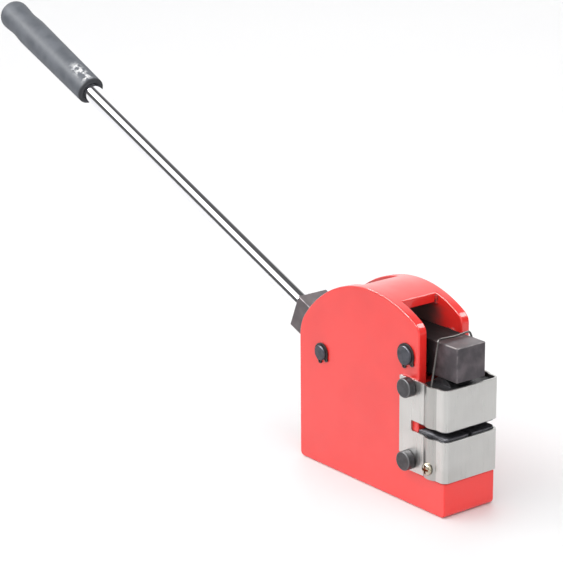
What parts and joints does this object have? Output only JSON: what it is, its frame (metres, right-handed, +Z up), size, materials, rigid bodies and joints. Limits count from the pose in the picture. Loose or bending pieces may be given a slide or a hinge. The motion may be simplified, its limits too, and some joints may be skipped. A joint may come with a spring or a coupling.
{
  "type": "metal shrinker",
  "caption": "Bench lever tool that shrinks sheet metal: an arched body with a long handle, a pressing arm and toothed wedge jaws behind a slotted sheet cover.",
  "frame": {"origin": "middle of the foot's underside", "axes": "+X towards the jaws, +Z up, +Y to the left of the tool"},
  "size_m": [0.6282, 0.067, 0.2991],
  "materials": {
    "red_paint": "gloss enamel over steel",
    "black_steel": "blackened steel",
    "plain_steel": "bright drawn steel",
    "grey_steel": "dark oiled steel bar",
    "chrome": "bright chrome plate",
    "grip_rubber": "matt grey rubber sleeve",
    "stainless": "brushed stainless sheet",
    "zinc": "yellow zinc plate",
    "knob_black": "blackened steel, satin",
    "jaw_black": "hardened blackened steel"
  },
  "bodies": {
    "frame": {"body": "red_paint", "rear_pivot_pin": "black_steel", "rear_pin_rings": "black_steel", "rear_spacers": "plain_steel", "front_pivot_pin": "black_steel", "front_pin_rings": "black_steel", "front_spacers": "plain_steel", "jaw_cover": "stainless", "cover_screws": "zinc", "lower_jaw_holder": "black_steel", "lower_jaw_spring": "plain_steel"},
    "handle": {"handle_block": "grey_steel", "handle_rod": "chrome", "handle_grip": "grip_rubber"},
    "arm": {"pressing_arm": "grey_steel"},
    "upper_holder": {"upper_jaw_holder": "black_steel", "upper_jaw_spring": "plain_steel", "lift_wire": "plain_steel"},
    "upper_right_jaw": {"upper_jaw_right": "jaw_black"},
    "upper_left_jaw": {"upper_jaw_left": "jaw_black"},
    "lower_right_jaw": {"lower_jaw_right": "jaw_black"},
    "lower_left_jaw": {"lower_jaw_left": "jaw_black"},
    "right_top_screw": {"thumb_screw_right_top": "knob_black"},
    "right_bottom_screw": {"thumb_screw_right_bottom": "knob_black"},
    "left_top_screw": {"thumb_screw_left_top": "knob_black"},
    "left_bottom_screw": {"thumb_screw_left_bottom": "knob_black"}
  },
  "joints": [
    {"name": "handle_pull", "type": "hinge", "parent": "frame", "child": "handle", "pos_m": [-0.0573, 0, 0.093], "axis": [0, -1, 0], "range_deg": [0, 30]},
    {"name": "arm_press", "type": "hinge", "parent": "frame", "child": "arm", "pos_m": [0.0415, 0, 0.117], "axis": [0, 1, 0], "range_deg": [0, 10.83]},
    {"name": "upper_holder_slide", "type": "slide", "parent": "frame", "child": "upper_holder", "axis": [0, 0, -1], "range_m": [0, 0.00524]},
    {"name": "upper_right_jaw_slide", "type": "slide", "parent": "upper_holder", "child": "upper_right_jaw", "axis": [0, 0.9397, 0.342], "range_m": [0, 0.00152], "deforming": ["upper_jaw_spring"]},
    {"name": "upper_left_jaw_slide", "type": "slide", "parent": "upper_holder", "child": "upper_left_jaw", "axis": [0, -0.9397, 0.342], "range_m": [0, 0.00152], "deforming": ["upper_jaw_spring"]},
    {"name": "lower_right_jaw_slide", "type": "slide", "parent": "frame", "child": "lower_right_jaw", "axis": [0, 0.9397, -0.342], "range_m": [0, 0.00152], "deforming": ["lower_jaw_spring"]},
    {"name": "lower_left_jaw_slide", "type": "slide", "parent": "frame", "child": "lower_left_jaw", "axis": [0, -0.9397, -0.342], "range_m": [0, 0.00152], "deforming": ["lower_jaw_spring"]},
    {"name": "right_top_screw_turn", "type": "hinge", "parent": "frame", "child": "right_top_screw", "pos_m": [0.0475, -0.027, 0.0943], "axis": [0, -1, 0], "continuous": true},
    {"name": "right_bottom_screw_turn", "type": "hinge", "parent": "frame", "child": "right_bottom_screw", "pos_m": [0.0475, -0.027, 0.0368], "axis": [0, -1, 0], "continuous": true},
    {"name": "left_top_screw_turn", "type": "hinge", "parent": "frame", "child": "left_top_screw", "pos_m": [0.0475, 0.027, 0.0943], "axis": [0, 1, 0], "continuous": true},
    {"name": "left_bottom_screw_turn", "type": "hinge", "parent": "frame", "child": "left_bottom_screw", "pos_m": [0.0475, 0.027, 0.0368], "axis": [0, 1, 0], "continuous": true}
  ],
  "couplings": [
    {"joint": "arm_press", "follows": "handle_pull", "ratio": 0.3608},
    {"joint": "upper_holder_slide", "follows": "handle_pull", "m_per_rad": 0.009983},
    {"joint": "upper_right_jaw_slide", "follows": "handle_pull", "m_per_rad": 0.0028675},
    {"joint": "upper_left_jaw_slide", "follows": "handle_pull", "m_per_rad": 0.0028675},
    {"joint": "lower_right_jaw_slide", "follows": "handle_pull", "m_per_rad": 0.0028675},
    {"joint": "lower_left_jaw_slide", "follows": "handle_pull", "m_per_rad": 0.0028675}
  ]
}
